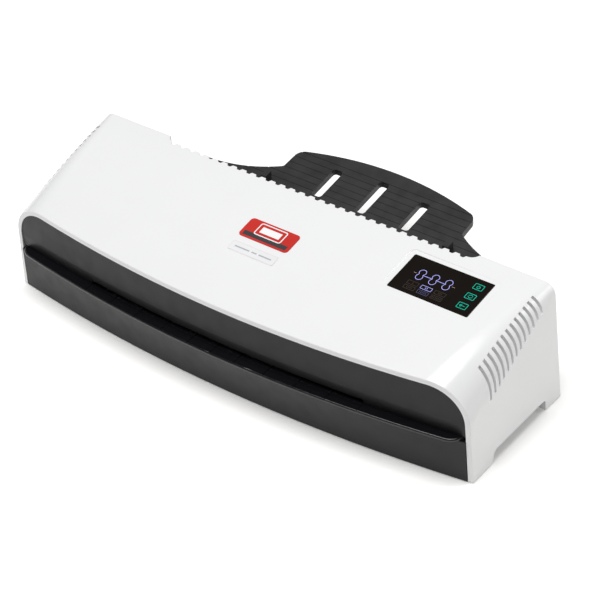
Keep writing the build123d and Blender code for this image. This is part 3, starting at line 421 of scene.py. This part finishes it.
def film_path(face):
    """Dashes between the rollers: the bright inner ones and the dim ends."""
    pairs = [on_window(face, place, PAIR_HEIGHT) for place in PAIR_PLACES]
    inner = []
    for (left, y), (right, _) in zip(pairs, pairs[1:]):
        inner.append(([(left + PATH_INNER_END, y), (right - PATH_INNER_END, y)], LINE, False))
    (first, y), (last, _) = pairs[0], pairs[-1]
    near, far = PATH_OUTER_ENDS
    ends = [
        ([(first - far, y), (first - near, y)], LINE, False),
        ([(last + near, y), (last + far, y)], LINE, False),
    ]
    return inner, ends


def thickness_box(centre, bars):
    """A setting: its frame, with one upright bar for each step of pouch thickness."""
    strokes = [(rounded_box(centre, *BOX_SIZE, BOX_CORNER), BOX_LINE, True)]
    for i in range(bars):
        x = centre[0] + (i - (bars - 1) / 2) * BAR_PITCH
        ends = [(x, centre[1] - BAR_HALF_HEIGHT), (x, centre[1] + BAR_HALF_HEIGHT)]
        strokes.append((ends, LINE, False))
    return strokes


def key_frame(centre):
    return [(rounded_box(centre, *KEY_SIZE, KEY_CORNER), KEY_LINE, True)]


def power_icon(centre):
    x, y = centre
    ring = arc((x, y - 0.2 * MM), 1.6 * MM, 125, 415, 16)
    return [(ring, LINE, False), ([(x, y + 0.2 * MM), (x, y + 2.1 * MM)], LINE, False)]


def select_icon(centre):
    """Two stacked arrows: step up, step down."""
    x, y = centre
    strokes = []
    for sign in (1, -1):
        tip = y + sign * 2.1 * MM
        wing = y + sign * 0.6 * MM
        strokes.append(([(x - 2.4 * MM, wing), (x, tip), (x + 2.4 * MM, wing)], LINE, False))
    return strokes


def reverse_icon(centre):
    """An arrow that points back out of the machine."""
    x, y = centre
    shaft = [(x - 2.8 * MM, y), (x + 2.8 * MM, y)]
    head = [(x - 1.0 * MM, y - 1.7 * MM), (x - 2.8 * MM, y), (x - 1.0 * MM, y + 1.7 * MM)]
    return [(shaft, LINE, False), (head, LINE, False)]


def display(inks):
    """Everything that the touch panel shows."""
    face = Face("display_window", (1, 0, 0), (0, 1, 0), (0, 0, 1))
    rollers = [
        (roller_pair(on_window(face, place, PAIR_HEIGHT)), LINE, True) for place in PAIR_PLACES
    ]
    inner, ends = film_path(face)
    mark("display_rollers", face, rollers, inks["lavender"], "housing")
    mark("display_path", face, inner, inks["lavender"], "housing")
    mark("display_path_ends", face, ends, inks["dim_rose"], "housing")
    for row, down in enumerate(BOX_ROWS):
        for column, across in enumerate(BOX_PLACES):
            lit = {(0, 1): "lavender", (1, 1): "dim_lavender"}.get((row, column), "dim_brown")
            strokes = thickness_box(on_window(face, across, down), 1 + row * 3 + column)
            name = f"display_setting_{row * 3 + column + 1}"
            mark(name, face, strokes, inks[lit], "housing")
    icons = (power_icon, select_icon, reverse_icon)
    for name, icon, down in zip(("power", "select", "reverse"), icons, KEY_ROWS):
        centre = on_window(face, KEY_PLACE, down)
        strokes = key_frame(centre) + icon(centre)
        mark(f"display_key_{name}", face, strokes, inks["teal"], "housing")


# ---------------------------------------------------------------- badge, label and switch marks


BAND_PLACE = -0.30                      # share of the badge's height, from its middle
BAND_HEIGHT = 0.22                      # share of the badge's height
BAND_MARGIN = 3.6 * MM
POUCH_PLACE = 2.4 * MM
POUCH_SIZE = (31 * MM, 14.5 * MM)
POUCH_CORNER = 2.0 * MM
POUCH_LINE = 1.2 * MM
SHEET_SIZE = (23 * MM, 7.6 * MM)
LABEL_MARGIN = 0.5 * MM
LABEL_CORNER = 1.2 * MM
LABEL_LINE = 0.35 * MM
LABEL_BARS = ((0.10, 0.42), (0.47, 0.58), (0.63, 0.90))    # shares of the label's width
LABEL_BAR_HEIGHT = 1.5 * MM
SWITCH_LINE = (1.4 * MM, 3.2 * MM)      # heights of its ends
SWITCH_LINE_WIDTH = 0.45 * MM
SWITCH_RING_PLACE = -2.3 * MM
SWITCH_RING_RADIUS = 0.9 * MM
SWITCH_RING_WIDTH = 0.4 * MM


def badge_art(inks):
    """A plain emblem: a sheet inside its sealed pouch, over a dark band."""
    face = Face("badge", (1, 0, 0), (0, 1, 0), (0, 0, 1))
    band_y = BAND_PLACE * face.height
    reach = face.width / 2 - BAND_MARGIN
    band = [([(-reach, band_y), (reach, band_y)], BAND_HEIGHT * face.height, False)]
    mark("badge_band", face, band, inks["charcoal"], "housing")
    pouch = rounded_box((0, POUCH_PLACE), *POUCH_SIZE, POUCH_CORNER)
    mark("badge_pouch", face, [(pouch, POUCH_LINE, True)], inks["white"], "housing")
    half, height = SHEET_SIZE[0] / 2, SHEET_SIZE[1]
    sheet = [([(-half, POUCH_PLACE), (half, POUCH_PLACE)], height, False)]
    mark("badge_sheet", face, sheet, inks["white"], "housing")


def rocker_marks(inks):
    """The usual line and ring of a mains switch."""
    face = Face("power_rocker", (-1, 0, 0), (0, 0, 1), (0, 1, 0))
    line = ([(0, end) for end in SWITCH_LINE], SWITCH_LINE_WIDTH, False)
    ring_path = arc((0, SWITCH_RING_PLACE), SWITCH_RING_RADIUS, 0, 345, 15)
    ring = (ring_path, SWITCH_RING_WIDTH, True)
    mark("rocker_line", face, [line], inks["white"], "rocker")
    mark("rocker_ring", face, [ring], inks["white"], "rocker")


def label_print(inks):
    """A thin frame round a row of plain bars, with nothing written on it."""
    face = Face("blank_label", (1, 0, 0), (0, 1, 0), (0, 0, 1))
    width, height = face.width - 2 * LABEL_MARGIN, face.height - 2 * LABEL_MARGIN
    outline = rounded_box((0, 0), width, height, LABEL_CORNER)
    mark("label_border", face, [(outline, LABEL_LINE, True)], inks["rose_line"], "housing")
    bars = []
    for start, end in LABEL_BARS:
        ends = [((share - 0.5) * face.width, 0) for share in (start, end)]
        bars.append((ends, LABEL_BAR_HEIGHT, False))
    mark("label_bars", face, bars, inks["soft_grey"], "housing")


# ---------------------------------------------------------------- surroundings


def linked(name, data):
    item = bpy.data.objects.new(name, data)
    bpy.context.scene.collection.objects.link(item)
    return item


def floor():
    """Pale seamless table."""
    mesh = bmesh.new()
    bmesh.ops.create_grid(mesh, x_segments=8, y_segments=8, size=FLOOR_HALF_WIDTH)
    data = bpy.data.meshes.new("floor")
    mesh.to_mesh(data)
    mesh.free()
    finish = Finish("floor_paint", Specular_IOR_Level=0.2, Emission_Strength=FLOOR_GLOW)
    finish.shader.inputs["Emission Color"].default_value = (1, 1, 1, 1)
    finish.colour(finish.noise(0.4, detail=2), (0.92, 0.915, 0.895), (0.93, 0.925, 0.905))
    finish.roughness(finish.noise(0.05), 0.7, 0.8)
    data.materials.append(finish.material)
    linked("floor", data)


def softbox(name, place, target, size, power, diffuse):
    """A large area light that faces its target."""
    data = bpy.data.lights.new(name, "AREA")
    data.shape = "RECTANGLE"
    data.size, data.size_y = size
    data.energy = power
    data.diffuse_factor = diffuse
    lamp = linked(name, data)
    lamp.location = place
    lamp.rotation_euler = (Vector(target) - Vector(place)).to_track_quat("-Z", "Y").to_euler()


def sky(strength):
    world = bpy.data.worlds.new("studio")
    world.use_nodes = True
    background = world.node_tree.nodes["Background"]
    background.inputs["Color"].default_value = (0.98, 0.99, 1.0, 1)
    background.inputs["Strength"].default_value = strength
    bpy.context.scene.world = world


def lights():
    sky(SKY_STRENGTH)
    for name, settings in LIGHTS.items():
        softbox(name, *settings)


def camera():
    data = bpy.data.cameras.new("camera")
    data.lens = LENS
    data.clip_start = 0.01
    item = linked("camera", data)
    away = Vector((
        math.sin(VIEW_AZIMUTH) * math.cos(VIEW_ELEVATION),
        -math.cos(VIEW_AZIMUTH) * math.cos(VIEW_ELEVATION),
        math.sin(VIEW_ELEVATION),
    ))
    turn = (-away).to_track_quat("-Z", "Y").to_matrix() @ Matrix.Rotation(VIEW_ROLL, 3, "Z")
    item.matrix_world = Matrix.Translation(VIEW_TARGET + away * VIEW_DISTANCE) @ turn.to_4x4()
    bpy.context.scene.camera = item


def make_inks():
    return {
        "lavender": ink("ink_lavender", (0.22, 0.22, 0.55), (0.30, 0.30, 0.66), glow=0.9),
        "dim_lavender": ink("ink_dim_lavender", (0.05, 0.05, 0.11), (0.07, 0.07, 0.15), glow=0.5),
        "dim_brown": ink("ink_dim_brown", (0.035, 0.027, 0.02), (0.05, 0.038, 0.03), glow=0.2),
        "dim_rose": ink("ink_dim_rose", (0.2, 0.13, 0.12), (0.28, 0.2, 0.19), glow=0.5),
        "teal": ink("ink_teal", (0.0, 0.26, 0.18), (0.0, 0.36, 0.24), glow=0.8),
        "white": ink("ink_white", (0.82, 0.82, 0.82), (0.88, 0.88, 0.88)),
        "charcoal": ink("ink_charcoal", (0.045, 0.040, 0.045), (0.055, 0.050, 0.055)),
        "soft_grey": ink("ink_soft_grey", (0.40, 0.40, 0.41), (0.46, 0.46, 0.47)),
        "rose_line": ink("ink_rose_line", (0.72, 0.58, 0.58), (0.76, 0.64, 0.64)),
    }


# ---------------------------------------------------------------- the scene


paint_frame(make_finishes())
inks = make_inks()
display(inks)
badge_art(inks)
label_print(inks)
rocker_marks(inks)
floor()
lights()
camera()

bpy.context.scene.view_settings.view_transform = "Standard"
